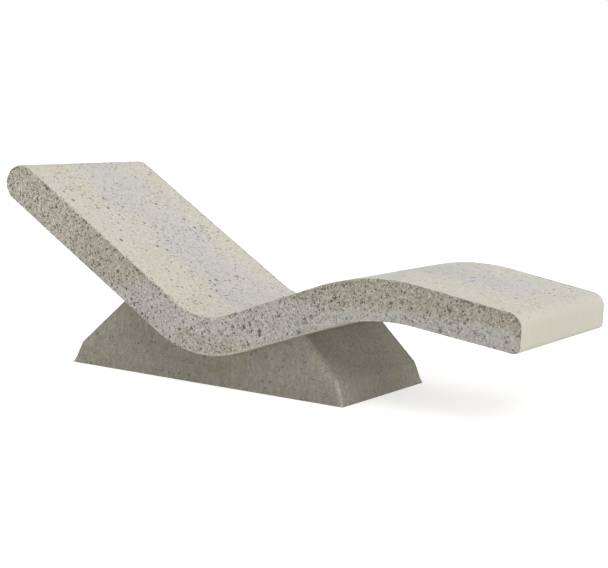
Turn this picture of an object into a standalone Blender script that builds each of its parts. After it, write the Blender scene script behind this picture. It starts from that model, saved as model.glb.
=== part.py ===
"""Precast concrete chaise longue.

A wavy lounger slab lies in a thin mortar bed on a tapered base block. Four bolts join
the two castings: each is screwed into a socket in the underside of the slab and grouted
into a pocket of the base. Both castings hold their steel reinforcement, and the cage of
the slab follows its wave.

Metres, +Z up. X runs from the head to the foot, Y runs across, and the origin is on the
floor under the middle of the object's box.
"""
import math

import bmesh
import bpy
from mathutils import Matrix, Vector

# Centreline of the lounger slab, from the middle of the head round to the foot face
BACK_LENGTH = 0.760
BACK_ANGLE = math.radians(31.4)
SEAT_RADIUS = 0.300
THIGH_LENGTH = 0.350
THIGH_ANGLE = math.radians(21.3)
KNEE_RADIUS = 0.670
LEG_LENGTH = 0.345
LEG_ANGLE = math.radians(7.8)
SEAT_UNDERSIDE_HEIGHT = 0.111

# Section of the lounger slab
SLAB_WIDTH = 0.686
HEAD_THICKNESS = 0.128
SEAT_THICKNESS = 0.126
KNEE_THICKNESS = 0.132
FOOT_THICKNESS = 0.115
FOOT_TOP_RADIUS = 0.046
FOOT_BOTTOM_RADIUS = 0.020
SLAB_ARRIS = 0.003

# Base block: its foot is centred a little towards the head from the seat's lowest point
BASE_LENGTH = 1.092
BASE_HEAD_SHIFT = 0.048
BASE_SETBACK = 0.061
BASE_DRAFT = math.radians(7.2)
BASE_SLOPE = math.radians(45)
TOE_HEIGHT = 0.074
TOE_INSET = 0.028
TOE_RADIUS = 0.040
BASE_ARRIS = 0.009

# Mortar bed between the castings, struck off just behind the faces of the base
BED_THICKNESS = 0.005
BED_RECESS = 0.001

# Reinforcement of the slab
SLAB_COVER = 0.025
LINK_DIAMETER = 0.006
LINK_BEND_RADIUS = 0.015
LINK_SPACING = 0.150
LONG_BAR_DIAMETER = 0.010
LONG_BARS_PER_LAYER = 4

# Sockets in the slab, the bars through them and the bolts in them
SOCKET_DIAMETER = 0.024
SOCKET_RECESS = 0.002
SOCKET_TOP_WALL = 0.008
ANCHOR_DIAMETER = 0.012
ANCHOR_OVERHANG = 0.060
BOLT_DIAMETER = 0.016
BOLT_ENGAGEMENT = 0.026
BOLT_EMBEDMENT = 0.050
BOLT_HEAD_WIDTH = 0.024
BOLT_HEAD_HEIGHT = 0.010
BOLT_CHAMFER = 0.0015
POCKET_RADIUS = 0.030
GROUT_UNDER_HEAD = 0.008

# Reinforcement mat of the base and the chairs that it stands on
BASE_COVER = 0.025
MAT_BAR_DIAMETER = 0.010
MAT_CROSS_DIAMETER = 0.008
MAT_LONG_BARS = 4
MAT_OVERHANG = 0.020
MAT_CROSS_MARGIN = 0.015
MAT_CROSS_PER_END = 3
CHAIR_DIAMETER = 0.024

# Gap between pieces that touch, and how far a cutter runs past what it opens
CLEARANCE = 0.0003
OVERRUN = 0.010

# Facets
HEAD_STEPS = 20
SEAT_STEPS = 14
KNEE_STEPS = 8
SEAT_BAR_STEPS = 6
KNEE_BAR_STEPS = 4
FILLET_STEPS = 6
BEND_STEPS = 2
BAR_SIDES = 6
SOCKET_SIDES = 12
BOLT_SIDES = 12
HEAD_SIDES = 6
CHAIR_SIDES = 12
POCKET_SIDES = 20
SEARCH_STEPS = 40
WELD_DISTANCE = 1e-6
FLAT_ANGLE = math.radians(0.05)
ROUND_ANGLE = math.radians(70)
EDGE_ANGLE = math.radians(30)

STRETCHES = (
    (BACK_LENGTH, 0.0),
    (SEAT_RADIUS * (BACK_ANGLE + THIGH_ANGLE), BACK_ANGLE + THIGH_ANGLE),
    (THIGH_LENGTH, 0.0),
    (KNEE_RADIUS * (THIGH_ANGLE + LEG_ANGLE), -THIGH_ANGLE - LEG_ANGLE),
    (LEG_LENGTH, 0.0),
)
SEAT_START = BACK_LENGTH
SEAT_END = SEAT_START + STRETCHES[1][0]
KNEE_START = SEAT_END + THIGH_LENGTH
KNEE_END = KNEE_START + STRETCHES[3][0]
FOOT_END = KNEE_END + LEG_LENGTH
SEAT_LOWEST = SEAT_START + SEAT_RADIUS * BACK_ANGLE


def centreline(distance):
    """Place and heading of the centreline, measured from the middle of the head round."""
    x, z, heading = 0.0, 0.0, -BACK_ANGLE
    left = distance
    for length, turn in STRETCHES:
        step = min(left, length)
        if turn:
            radius = length / turn
            next_heading = heading + step / radius
            x += radius * (math.sin(next_heading) - math.sin(heading))
            z -= radius * (math.cos(next_heading) - math.cos(heading))
            heading = next_heading
        else:
            x += step * math.cos(heading)
            z += step * math.sin(heading)
        left -= step
    return x, z, heading


HEAD_X = (HEAD_THICKNESS / 2 - centreline(FOOT_END)[0]) / 2
HEAD_Z = SEAT_UNDERSIDE_HEIGHT + SEAT_THICKNESS / 2 - centreline(SEAT_LOWEST)[1]


def thickness(distance):
    """Thickness of the slab, which changes evenly between four measured places."""
    marks = (0.0, (SEAT_START + SEAT_END) / 2, (KNEE_START + KNEE_END) / 2, FOOT_END)
    values = (HEAD_THICKNESS, SEAT_THICKNESS, KNEE_THICKNESS, FOOT_THICKNESS)
    for index in range(len(marks) - 1):
        if distance <= marks[index + 1]:
            share = (distance - marks[index]) / (marks[index + 1] - marks[index])
            return values[index] + share * (values[index + 1] - values[index])
    return values[-1]


def slab_point(distance, offset):
    """Point in the XZ plane at an offset above the centreline."""
    x, z, heading = centreline(distance)
    return Vector((
        HEAD_X + x - offset * math.sin(heading),
        0.0,
        HEAD_Z + z + offset * math.cos(heading),
    ))


def underside(distance, depth):
    """Point at a depth below the underside of the slab."""
    return slab_point(distance, -thickness(distance) / 2 - depth)


def cross_frame(distance):
    """Frame on the centreline: X across the slab, Y square to it, Z along it."""
    heading = centreline(distance)[2]
    return Matrix.Translation(slab_point(distance, 0.0)) @ Matrix((
        (0.0, -math.sin(heading), math.cos(heading), 0.0),
        (1.0, 0.0, 0.0, 0.0),
        (0.0, math.cos(heading), math.sin(heading), 0.0),
        (0.0, 0.0, 0.0, 1.0),
    ))


def socket_frame(distance, across):
    """Frame on the underside: X along the slab, Y across it, Z square into it."""
    heading = centreline(distance)[2]
    place = underside(distance, 0.0) + Vector((0.0, across, 0.0))
    return Matrix.Translation(place) @ Matrix.Rotation(-heading, 4, "Y")


def spread(first, last, count):
    """Evenly spaced values from the first to the last."""
    return [first + (last - first) * index / (count - 1) for index in range(count)]


def on_bend(distance):
    """Whether a distance along the slab is on one of its two bends."""
    return SEAT_START < distance < SEAT_END or KNEE_START < distance < KNEE_END


def slab_stations(seat_steps, knee_steps, start, end, crossings=()):
    """Distances at which a path along the slab has a point: its ends, its bends and, on
    the bends, the places where it crosses something."""
    steps = spread(SEAT_START, SEAT_END, seat_steps + 1) + spread(KNEE_START, KNEE_END, knee_steps + 1)
    found = [start, end] + [value for value in crossings if on_bend(value)]
    for value in steps:
        if start < value < end and min(abs(value - other) for other in found) > LINK_DIAMETER:
            found.append(value)
    return sorted(found)


def fillet(before, corner, after, radius, steps):
    """Points of the arc that rounds a corner between its two neighbours."""
    back = (before - corner).normalized()
    ahead = (after - corner).normalized()
    half = back.angle(ahead) / 2
    bisector = (back + ahead).normalized()
    centre = corner + bisector * (radius / math.sin(half))
    start = corner + back * (radius / math.tan(half)) - centre
    end = corner + ahead * (radius / math.tan(half)) - centre
    sweep = start.angle(end)
    return [
        centre + (start * math.sin(sweep * (1 - share)) + end * math.sin(sweep * share)) / math.sin(sweep)
        for share in spread(0.0, 1.0, steps + 1)
    ]


def slab_outline():
    """Side view of the slab, from the foot over the top to the head and back below."""
    stations = slab_stations(SEAT_STEPS, KNEE_STEPS, 0.0, FOOT_END)[:-1]
    top = [slab_point(value, thickness(value) / 2) for value in stations]
    bottom = [slab_point(value, -thickness(value) / 2) for value in stations]
    head = []
    for turn in spread(0.0, math.pi, HEAD_STEPS + 1)[1:-1]:
        angle = math.pi / 2 - BACK_ANGLE + turn
        head.append(slab_point(0.0, 0.0) + Vector((math.cos(angle), 0.0, math.sin(angle))) * HEAD_THICKNESS / 2)
    foot = slab_point(FOOT_END, 0.0)
    rise = Vector((0.0, 0.0, FOOT_THICKNESS / 2 / math.cos(LEG_ANGLE)))
    upper_corner = fillet(top[-1], foot + rise, foot, FOOT_TOP_RADIUS, FILLET_STEPS)
    lower_corner = fillet(foot, foot - rise, bottom[-1], FOOT_BOTTOM_RADIUS, FILLET_STEPS)
    return lower_corner[::-1] + upper_corner[::-1] + top[::-1] + head + bottom


def base_half_width(height):
    """Half the width of the base, whose sides lean inwards."""
    return SLAB_WIDTH / 2 - BASE_SETBACK - height * math.tan(BASE_DRAFT)


BASE_MIDDLE = underside(SEAT_LOWEST, 0.0).x - BASE_HEAD_SHIFT
BASE_HEAD_END = BASE_MIDDLE - BASE_LENGTH / 2
BASE_FOOT_END = BASE_MIDDLE + BASE_LENGTH / 2


def above_slope(distance, depth, toe_x, direction):
    """How far a point below the slab is above the slope that starts at a toe."""
    point = underside(distance, depth)
    inward = (point.x - toe_x) * direction
    return point.z - TOE_HEIGHT - inward * math.tan(BASE_SLOPE)


def slope_meets_slab(inner, outer, depth, toe_x, direction):
    """Distance along the slab where a slope of the base comes within a depth below it."""
    for _ in range(SEARCH_STEPS):
        middle = (inner + outer) / 2
        if above_slope(middle, depth, toe_x, direction) < 0:
            inner = middle
        else:
            outer = middle
    return (inner + outer) / 2


HEAD_TOE_X = BASE_HEAD_END + TOE_INSET
FOOT_TOE_X = BASE_FOOT_END - TOE_INSET
CRADLE_START = slope_meets_slab(SEAT_LOWEST, 0.0, BED_THICKNESS, HEAD_TOE_X, 1)
CRADLE_END = slope_meets_slab(SEAT_LOWEST, FOOT_END, BED_THICKNESS, FOOT_TOE_X, -1)
BED_TOP_START = slope_meets_slab(SEAT_LOWEST, 0.0, CLEARANCE, HEAD_TOE_X, 1)
BED_TOP_END = slope_meets_slab(SEAT_LOWEST, FOOT_END, CLEARANCE, FOOT_TOE_X, -1)


def cradle_points():
    """Top of the base in side view, an even depth below the slab."""
    stations = slab_stations(SEAT_STEPS, KNEE_STEPS, CRADLE_START, CRADLE_END)
    return [underside(value, BED_THICKNESS) for value in stations]


def base_outline():
    """Side view of the base: flat foot, steep toes, slopes and the cradle for the slab."""
    cradle = cradle_points()
    head_foot = Vector((BASE_HEAD_END, 0.0, 0.0))
    head_toe = Vector((HEAD_TOE_X, 0.0, TOE_HEIGHT))
    foot_toe = Vector((FOOT_TOE_X, 0.0, TOE_HEIGHT))
    foot_foot = Vector((BASE_FOOT_END, 0.0, 0.0))
    head_round = fillet(head_foot, head_toe, cradle[0], TOE_RADIUS, FILLET_STEPS)
    foot_round = fillet(cradle[-1], foot_toe, foot_foot, TOE_RADIUS, FILLET_STEPS)
    return [head_foot] + head_round + cradle + foot_round + [foot_foot]


def bed_outline():
    """Side view of the mortar bed, a thin strip whose ends carry on the slopes of the base."""
    upper = slab_stations(SEAT_STEPS, KNEE_STEPS, BED_TOP_START + BED_RECESS, BED_TOP_END - BED_RECESS)
    lower = slab_stations(SEAT_STEPS, KNEE_STEPS, CRADLE_START + BED_RECESS, CRADLE_END - BED_RECESS)
    top = [underside(value, CLEARANCE) for value in upper]
    bottom = [underside(value, BED_THICKNESS - CLEARANCE) for value in lower]
    return top + bottom[::-1]


def clear_scene():
    for item in list(bpy.data.objects):
        bpy.data.objects.remove(item)


def new_collection(name):
    collection = bpy.data.collections.new(name)
    bpy.context.scene.collection.children.link(collection)
    return collection


def new_material(name, colour, roughness, metallic):
    material = bpy.data.materials.new(name)
    material.use_nodes = True
    shader = material.node_tree.nodes["Principled BSDF"]
    shader.inputs["Base Color"].default_value = (*colour, 1.0)
    shader.inputs["Roughness"].default_value = roughness
    shader.inputs["Metallic"].default_value = metallic
    material.diffuse_color = (*colour, 1.0)
    return material


def mesh_from_curve(curve):
    """Closed mesh of a curve, with its caps welded on; the curve is removed."""
    item = bpy.data.objects.new(curve.name, curve)
    bpy.context.scene.collection.objects.link(item)
    evaluated = item.evaluated_get(bpy.context.evaluated_depsgraph_get())
    mesh = bpy.data.meshes.new_from_object(evaluated)
    bpy.data.objects.remove(item)
    bpy.data.curves.remove(curve)
    shape = bmesh.new()
    shape.from_mesh(mesh)
    bmesh.ops.remove_doubles(shape, verts=shape.verts, dist=WELD_DISTANCE)
    shape.to_mesh(mesh)
    shape.free()
    return mesh


def extruded_mesh(name, outline, width):
    """Flat outline in the XZ plane, extruded evenly to both sides along Y."""
    curve = bpy.data.curves.new(name, "CURVE")
    curve.dimensions = "2D"
    curve.fill_mode = "BOTH"
    curve.extrude = width / 2
    spline = curve.splines.new("POLY")
    spline.points.add(len(outline) - 1)
    for point, place in zip(spline.points, outline):
        point.co = (place.x, place.z, 0.0, 1.0)
    spline.use_cyclic_u = True
    mesh = mesh_from_curve(curve)
    mesh.transform(Matrix.Rotation(math.pi / 2, 4, "X"))
    shape = bmesh.new()
    shape.from_mesh(mesh)
    bmesh.ops.dissolve_limit(shape, angle_limit=FLAT_ANGLE, verts=shape.verts, edges=shape.edges)
    bmesh.ops.recalc_face_normals(shape, faces=shape.faces)
    shape.to_mesh(mesh)
    shape.free()
    return mesh


def lean_sides(mesh, inset):
    """Give an extruded mesh the leaning sides of the base, held back by an inset."""
    for vertex in mesh.vertices:
        vertex.co.y = math.copysign(base_half_width(vertex.co.z) - inset, vertex.co.y)


def bar_mesh(name, points, radius, closed=False, tilt=0.0):
    """Round bar along points, with flats at its radius so that bars cross face to face."""
    curve = bpy.data.curves.new(name, "CURVE")
    curve.dimensions = "3D"
    curve.bevel_depth = radius / math.cos(math.pi / BAR_SIDES)
    curve.bevel_resolution = BAR_SIDES // 2 - 2
    curve.use_fill_caps = not closed
    spline = curve.splines.new("POLY")
    spline.points.add(len(points) - 1)
    spline.use_cyclic_u = closed
    for index, point in enumerate(spline.points):
        place = points[index]
        point.co = (*place, 1.0)
        point.tilt = tilt
        if closed or 0 < index < len(points) - 1:
            before = place - points[index - 1]
            after = points[(index + 1) % len(points)] - place
            point.radius = 1 / math.cos(before.angle(after) / 2)
    return mesh_from_curve(curve)


def cylinder_mesh(name, radius, low, high, sides):
    """Upright cylinder between two heights."""
    mesh = bpy.data.meshes.new(name)
    shape = bmesh.new()
    bmesh.ops.create_cone(
        shape, cap_ends=True, segments=sides, radius1=radius, radius2=radius, depth=high - low,
        matrix=Matrix.Translation((0.0, 0.0, (low + high) / 2)),
    )
    shape.to_mesh(mesh)
    shape.free()
    return mesh


def add_part(name, mesh, material, matrix=Matrix()):
    """One named piece of the object, parented to the object's own origin."""
    mesh.name = name
    mesh.materials.clear()
    mesh.materials.append(material)
    part = bpy.data.objects.new(name, mesh)
    PARTS.objects.link(part)
    part.parent = ORIGIN
    part.matrix_world = matrix
    return part


def add_cutter(name, mesh, matrix=Matrix()):
    """A shape that only cuts or joins; it isn't a piece of the object."""
    cutter = bpy.data.objects.new(name, mesh)
    CUTTERS.objects.link(cutter)
    cutter.matrix_world = matrix
    cutter.hide_render = True
    cutter.display_type = "WIRE"
    return cutter


def boolean(part, tool, operation="DIFFERENCE"):
    modifier = part.modifiers.new(tool.name, "BOOLEAN")
    modifier.operation = operation
    modifier.solver = "EXACT"
    modifier.object = tool


def mark_edges(mesh, spared=()):
    """Mark the sharp edges of a mesh that lie above the floor. Those between two spared
    places along X stay sharp too."""
    shape = bmesh.new()
    shape.from_mesh(mesh)
    weight = shape.edges.layers.float.new("bevel_weight_edge")
    for edge in shape.edges:
        places = [end.co.x for end in edge.verts]
        outside = not spared or min(places) < spared[0] or max(places) > spared[1]
        raised = max(end.co.z for end in edge.verts) > 0
        edge[weight] = float(outside and raised and edge.calc_face_angle() > EDGE_ANGLE)
    shape.to_mesh(mesh)
    shape.free()


def bevel(part, width, segments):
    modifier = part.modifiers.new("arris", "BEVEL")
    modifier.width = width
    modifier.segments = segments
    modifier.limit_method = "WEIGHT"


def shade_round(mesh):
    mesh.shade_smooth()
    mesh.set_sharp_from_angle(angle=ROUND_ANGLE)


def make_slab():
    mesh = extruded_mesh("lounger_slab", slab_outline(), SLAB_WIDTH)
    mark_edges(mesh)
    slab = add_part("lounger_slab", mesh, LIGHT_CONCRETE)
    bevel(slab, SLAB_ARRIS, 1)
    return slab


def make_base():
    mesh = extruded_mesh("base_block", base_outline(), SLAB_WIDTH)
    lean_sides(mesh, 0.0)
    cradle = cradle_points()
    mark_edges(mesh, (cradle[0].x - CLEARANCE, cradle[-1].x + CLEARANCE))
    base = add_part("base_block", mesh, DARK_CONCRETE)
    bevel(base, BASE_ARRIS, 2)
    return base


def make_bed():
    mesh = extruded_mesh("mortar_bed", bed_outline(), SLAB_WIDTH)
    lean_sides(mesh, BED_RECESS)
    return add_part("mortar_bed", mesh, MORTAR)


def embed_bar(name, points, radius, host, material, matrix=Matrix(), closed=False, tilt=0.0):
    """A steel bar and the channel that it fills in its casting."""
    mesh = bar_mesh(name, points, radius, closed, tilt)
    shade_round(mesh)
    bar = add_part(name, mesh, material, matrix)
    path = list(points)
    if not closed:
        path[0] = points[0] + (points[0] - points[1]).normalized() * CLEARANCE
        path[-1] = points[-1] + (points[-1] - points[-2]).normalized() * CLEARANCE
    channel_mesh = bar_mesh(name + "_channel", path, radius + CLEARANCE, closed, tilt)
    channel = add_cutter(name + "_channel", channel_mesh, matrix)
    boolean(host, channel)
    return bar, channel


def link_stations():
    """Links stand on both sides of the seat's lowest point, one in its middle."""
    toward_head = int((SEAT_LOWEST - LINK_DIAMETER) / LINK_SPACING)
    toward_foot = int((FOOT_END - SLAB_COVER - LONG_BAR_DIAMETER - SEAT_LOWEST) / LINK_SPACING)
    return [SEAT_LOWEST + index * LINK_SPACING for index in range(-toward_head, toward_foot + 1)]


def link_points(distance):
    """Closed loop with round corners, in the frame across the slab."""
    half_width = SLAB_WIDTH / 2 - SLAB_COVER - LINK_DIAMETER / 2
    half_height = thickness(distance) / 2 - SLAB_COVER - LINK_DIAMETER / 2
    points = []
    for quarter, (side, level) in enumerate(((1, 1), (-1, 1), (-1, -1), (1, -1))):
        centre = Vector((
            side * (half_width - LINK_BEND_RADIUS),
            level * (half_height - LINK_BEND_RADIUS),
            0.0,
        ))
        for turn in spread(0.0, math.pi / 2, BEND_STEPS + 1):
            angle = quarter * math.pi / 2 + turn
            points.append(centre + LINK_BEND_RADIUS * Vector((math.cos(angle), math.sin(angle), 0.0)))
    return points


OUTER_BAR_Y = SLAB_WIDTH / 2 - SLAB_COVER - LINK_DIAMETER / 2 - LINK_BEND_RADIUS - LONG_BAR_DIAMETER / 2
LONG_BAR_YS = spread(-OUTER_BAR_Y, OUTER_BAR_Y, LONG_BARS_PER_LAYER)
LONG_BAR_DEPTH = SLAB_COVER + LINK_DIAMETER + CLEARANCE + LONG_BAR_DIAMETER / 2

SOCKET_Y = (LONG_BAR_YS[-1] + LONG_BAR_YS[-2]) / 2
SOCKET_ROWS = {
    "head": SEAT_LOWEST - LINK_SPACING / 2,
    "foot": SEAT_LOWEST + LINK_SPACING / 2,
}
SOCKET_SIDES_Y = {"right": -SOCKET_Y, "left": SOCKET_Y}
ANCHOR_DEPTH = LONG_BAR_DEPTH + LONG_BAR_DIAMETER / 2 + CLEARANCE + ANCHOR_DIAMETER / 2
SOCKET_TOP = ANCHOR_DEPTH + ANCHOR_DIAMETER / 2 + SOCKET_TOP_WALL
BOLT_TIP = SOCKET_RECESS + BOLT_ENGAGEMENT
BOLT_HEAD_TOP = -BED_THICKNESS - BOLT_EMBEDMENT
BOLT_HEAD_BOTTOM = BOLT_HEAD_TOP - BOLT_HEAD_HEIGHT
POCKET_BOTTOM = BOLT_HEAD_BOTTOM - GROUT_UNDER_HEAD


def make_links(slab):
    for number, distance in enumerate(link_stations(), 1):
        embed_bar(
            f"cage_link_{number:02d}", link_points(distance), LINK_DIAMETER / 2, slab, REBAR,
            cross_frame(distance), closed=True, tilt=math.pi / BAR_SIDES,
        )


def make_long_bars(slab):
    """Two layers of long bars that follow the wave inside the links."""
    crossings = link_stations() + list(SOCKET_ROWS.values())
    stations = slab_stations(SEAT_BAR_STEPS, KNEE_BAR_STEPS, 0.0, FOOT_END - SLAB_COVER, crossings)
    for layer, side in (("upper", 1), ("lower", -1)):
        path = [slab_point(value, side * (thickness(value) / 2 - LONG_BAR_DEPTH)) for value in stations]
        for number, across in enumerate(LONG_BAR_YS, 1):
            points = [place + Vector((0.0, across, 0.0)) for place in path]
            embed_bar(f"{layer}_long_bar_{number}", points, LONG_BAR_DIAMETER / 2, slab, REBAR)


def bolt_shank_mesh(name):
    """Round shank that ends inside the head, with a chamfered tip."""
    mesh = cylinder_mesh(name, BOLT_DIAMETER / 2, BOLT_HEAD_TOP - BOLT_HEAD_HEIGHT / 2, BOLT_TIP, BOLT_SIDES)
    shape = bmesh.new()
    shape.from_mesh(mesh)
    tip = [edge for edge in shape.edges if min(end.co.z for end in edge.verts) > BOLT_TIP - CLEARANCE]
    bmesh.ops.bevel(shape, geom=tip, offset=BOLT_CHAMFER, segments=1, affect="EDGES")
    shape.to_mesh(mesh)
    shape.free()
    return mesh


def hexagon_mesh(name, extra):
    """Hexagon head of a bolt, or with extra size the hole that it fills."""
    corner = (BOLT_HEAD_WIDTH / 2 + extra) / math.cos(math.pi / HEAD_SIDES)
    return cylinder_mesh(name, corner, BOLT_HEAD_BOTTOM - extra, BOLT_HEAD_TOP + extra, HEAD_SIDES)


def make_bolt(name, frame, bed):
    bolt = add_part(name, bolt_shank_mesh(name), ZINC, frame)
    shade_round(bolt.data)
    boolean(bolt, add_cutter(name + "_head", hexagon_mesh(name + "_head", 0.0), frame), "UNION")
    head_hole = add_cutter(name + "_head_hole", hexagon_mesh(name + "_head_hole", CLEARANCE), frame)
    shank_hole_mesh = cylinder_mesh(
        name + "_hole", BOLT_DIAMETER / 2 + CLEARANCE, BOLT_HEAD_TOP - BOLT_HEAD_HEIGHT / 2,
        OVERRUN, BOLT_SIDES,
    )
    boolean(bed, head_hole)
    boolean(bed, add_cutter(name + "_hole", shank_hole_mesh, frame))


def make_socket(name, frame, slab):
    """Threaded socket, open at the underside of the slab."""
    mesh = cylinder_mesh(name, SOCKET_DIAMETER / 2, SOCKET_RECESS, SOCKET_TOP, SOCKET_SIDES)
    shade_round(mesh)
    socket = add_part(name, mesh, ZINC, frame)
    bore = cylinder_mesh(
        name + "_bore", BOLT_DIAMETER / 2 + CLEARANCE, SOCKET_RECESS - OVERRUN,
        BOLT_TIP + CLEARANCE, BOLT_SIDES,
    )
    boolean(socket, add_cutter(name + "_bore", bore, frame))
    recess = cylinder_mesh(
        name + "_recess", SOCKET_DIAMETER / 2 + CLEARANCE, -OVERRUN, SOCKET_TOP + CLEARANCE, SOCKET_SIDES,
    )
    boolean(slab, add_cutter(name + "_recess", recess, frame))
    return socket


def make_pocket(name, frame, base, bed):
    """Pocket in the base, and the plug of mortar that fills it round the bolt."""
    pocket = cylinder_mesh(name, POCKET_RADIUS, POCKET_BOTTOM, OVERRUN, POCKET_SIDES)
    boolean(base, add_cutter(name, pocket, frame))
    plug = cylinder_mesh(
        name + "_plug", POCKET_RADIUS - CLEARANCE, POCKET_BOTTOM + CLEARANCE,
        -BED_THICKNESS / 2, POCKET_SIDES,
    )
    boolean(bed, add_cutter(name + "_plug", plug, frame), "UNION")


def make_fixings(slab, base, bed):
    """Sockets, their anchor bars, the bolts and the grouted pockets, row by row."""
    frames = {
        f"{row}_{side}": socket_frame(distance, across)
        for row, distance in SOCKET_ROWS.items()
        for side, across in SOCKET_SIDES_Y.items()
    }
    for place, frame in frames.items():
        make_pocket(f"pocket_{place}", frame, base, bed)
    for place, frame in frames.items():
        make_bolt(f"anchor_bolt_{place}", frame, bed)
    sockets = {place: make_socket(f"threaded_socket_{place}", frame, slab) for place, frame in frames.items()}
    for row, distance in SOCKET_ROWS.items():
        reach = SOCKET_Y + ANCHOR_OVERHANG
        points = [Vector((0.0, -reach, ANCHOR_DEPTH)), Vector((0.0, reach, ANCHOR_DEPTH))]
        channel = embed_bar(
            f"socket_anchor_bar_{row}", points, ANCHOR_DIAMETER / 2, slab, REBAR, socket_frame(distance, 0.0),
        )[1]
        for side in SOCKET_SIDES_Y:
            boolean(sockets[f"{row}_{side}"], channel)


MAT_LONG_Z = BASE_COVER + MAT_BAR_DIAMETER / 2
MAT_CROSS_Z = BASE_COVER + MAT_BAR_DIAMETER + CLEARANCE + MAT_CROSS_DIAMETER / 2
MAT_HEAD_END = HEAD_TOE_X + BASE_COVER
MAT_FOOT_END = FOOT_TOE_X - BASE_COVER


def pocket_edge(row, direction):
    """X of the outer edge of a row of pockets, at their bottom."""
    return (socket_frame(SOCKET_ROWS[row], 0.0) @ Vector((direction * POCKET_RADIUS, 0.0, POCKET_BOTTOM))).x


def mat_cross_places():
    """One cross bar between the rows of pockets, and some from the pockets to each end."""
    head = spread(MAT_HEAD_END + MAT_CROSS_MARGIN, pocket_edge("head", -1) - MAT_CROSS_MARGIN, MAT_CROSS_PER_END)
    foot = spread(pocket_edge("foot", 1) + MAT_CROSS_MARGIN, MAT_FOOT_END - MAT_CROSS_MARGIN, MAT_CROSS_PER_END)
    return head + [underside(SEAT_LOWEST, 0.0).x] + foot


def make_base_mat(base):
    """Mat of bars low in the base, and the chairs that carry it."""
    reach = base_half_width(MAT_CROSS_Z) - BASE_COVER
    outer = reach - MAT_OVERHANG
    places = mat_cross_places()
    channels = []
    for number, across in enumerate(spread(-outer, outer, MAT_LONG_BARS), 1):
        points = [Vector((MAT_HEAD_END, across, MAT_LONG_Z)), Vector((MAT_FOOT_END, across, MAT_LONG_Z))]
        channels.append(embed_bar(f"base_long_bar_{number}", points, MAT_BAR_DIAMETER / 2, base, REBAR)[1])
    for number, place in enumerate(places, 1):
        points = [Vector((place, -reach, MAT_CROSS_Z)), Vector((place, reach, MAT_CROSS_Z))]
        embed_bar(f"base_cross_bar_{number}", points, MAT_CROSS_DIAMETER / 2, base, REBAR)
    for row, place in (("head", places[0]), ("foot", places[-1])):
        for side, across, channel in (("right", -outer, channels[0]), ("left", outer, channels[-1])):
            make_chair(f"bar_chair_{row}_{side}", Matrix.Translation((place, across, 0.0)), base, channel)


def make_chair(name, frame, base, channel):
    """Round chair that holds a bar of the mat off the mould, flush with the base's foot."""
    mesh = cylinder_mesh(name, CHAIR_DIAMETER / 2, CLEARANCE, MAT_LONG_Z - CLEARANCE, CHAIR_SIDES)
    shade_round(mesh)
    boolean(add_part(name, mesh, CHAIR_PLASTIC, frame), channel)
    hole = cylinder_mesh(name + "_hole", CHAIR_DIAMETER / 2 + CLEARANCE, -OVERRUN, MAT_LONG_Z, CHAIR_SIDES)
    boolean(base, add_cutter(name + "_hole", hole, frame))


clear_scene()
PARTS = new_collection("chaise_longue")
CUTTERS = new_collection("cutters")
ORIGIN = bpy.data.objects.new("chaise_longue_origin", None)
PARTS.objects.link(ORIGIN)
LIGHT_CONCRETE = new_material("light_exposed_concrete", (0.62, 0.58, 0.51), 0.85, 0.0)
DARK_CONCRETE = new_material("dark_concrete", (0.22, 0.21, 0.18), 0.9, 0.0)
MORTAR = new_material("bedding_mortar", (0.26, 0.25, 0.22), 0.95, 0.0)
REBAR = new_material("reinforcing_steel", (0.20, 0.12, 0.08), 0.7, 0.8)
ZINC = new_material("zinc_plated_steel", (0.55, 0.56, 0.58), 0.4, 1.0)
CHAIR_PLASTIC = new_material("grey_chair_plastic", (0.30, 0.30, 0.31), 0.6, 0.0)

SLAB = make_slab()
BASE = make_base()
BED = make_bed()
make_fixings(SLAB, BASE, BED)
make_long_bars(SLAB)
make_links(SLAB)
make_base_mat(BASE)
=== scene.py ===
"""Looks of a precast concrete chaise longue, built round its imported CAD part.

The two castings get fine surfaces of their own: the lounger slab is smooth cast concrete
with specks above and exposed stones on its sides, and the base block is a darker mix.
The pieces inside keep their CAD shapes and get finishes of their own. Metres, +Z up, X from
the head to the foot.
"""

import math

import bpy
import numpy as np
from mathutils import Matrix, Vector


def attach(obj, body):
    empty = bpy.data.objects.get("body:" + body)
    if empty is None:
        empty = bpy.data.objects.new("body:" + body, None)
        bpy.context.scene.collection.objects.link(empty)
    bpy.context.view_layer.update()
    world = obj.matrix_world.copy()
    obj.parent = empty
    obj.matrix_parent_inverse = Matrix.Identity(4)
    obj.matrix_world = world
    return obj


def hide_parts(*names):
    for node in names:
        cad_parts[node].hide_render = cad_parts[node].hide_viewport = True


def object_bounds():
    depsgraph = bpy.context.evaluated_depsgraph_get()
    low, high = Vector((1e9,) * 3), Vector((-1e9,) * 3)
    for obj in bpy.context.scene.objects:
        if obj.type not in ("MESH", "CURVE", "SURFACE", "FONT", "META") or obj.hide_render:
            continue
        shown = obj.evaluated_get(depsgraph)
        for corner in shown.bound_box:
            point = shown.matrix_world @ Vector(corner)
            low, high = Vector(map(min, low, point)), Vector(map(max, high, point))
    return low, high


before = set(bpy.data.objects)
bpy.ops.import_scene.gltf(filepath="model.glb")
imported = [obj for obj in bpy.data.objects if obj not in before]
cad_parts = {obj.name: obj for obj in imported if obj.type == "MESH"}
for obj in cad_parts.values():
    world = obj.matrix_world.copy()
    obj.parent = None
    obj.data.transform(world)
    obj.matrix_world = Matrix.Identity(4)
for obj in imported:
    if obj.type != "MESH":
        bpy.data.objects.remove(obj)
CAD_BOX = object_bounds()

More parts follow.
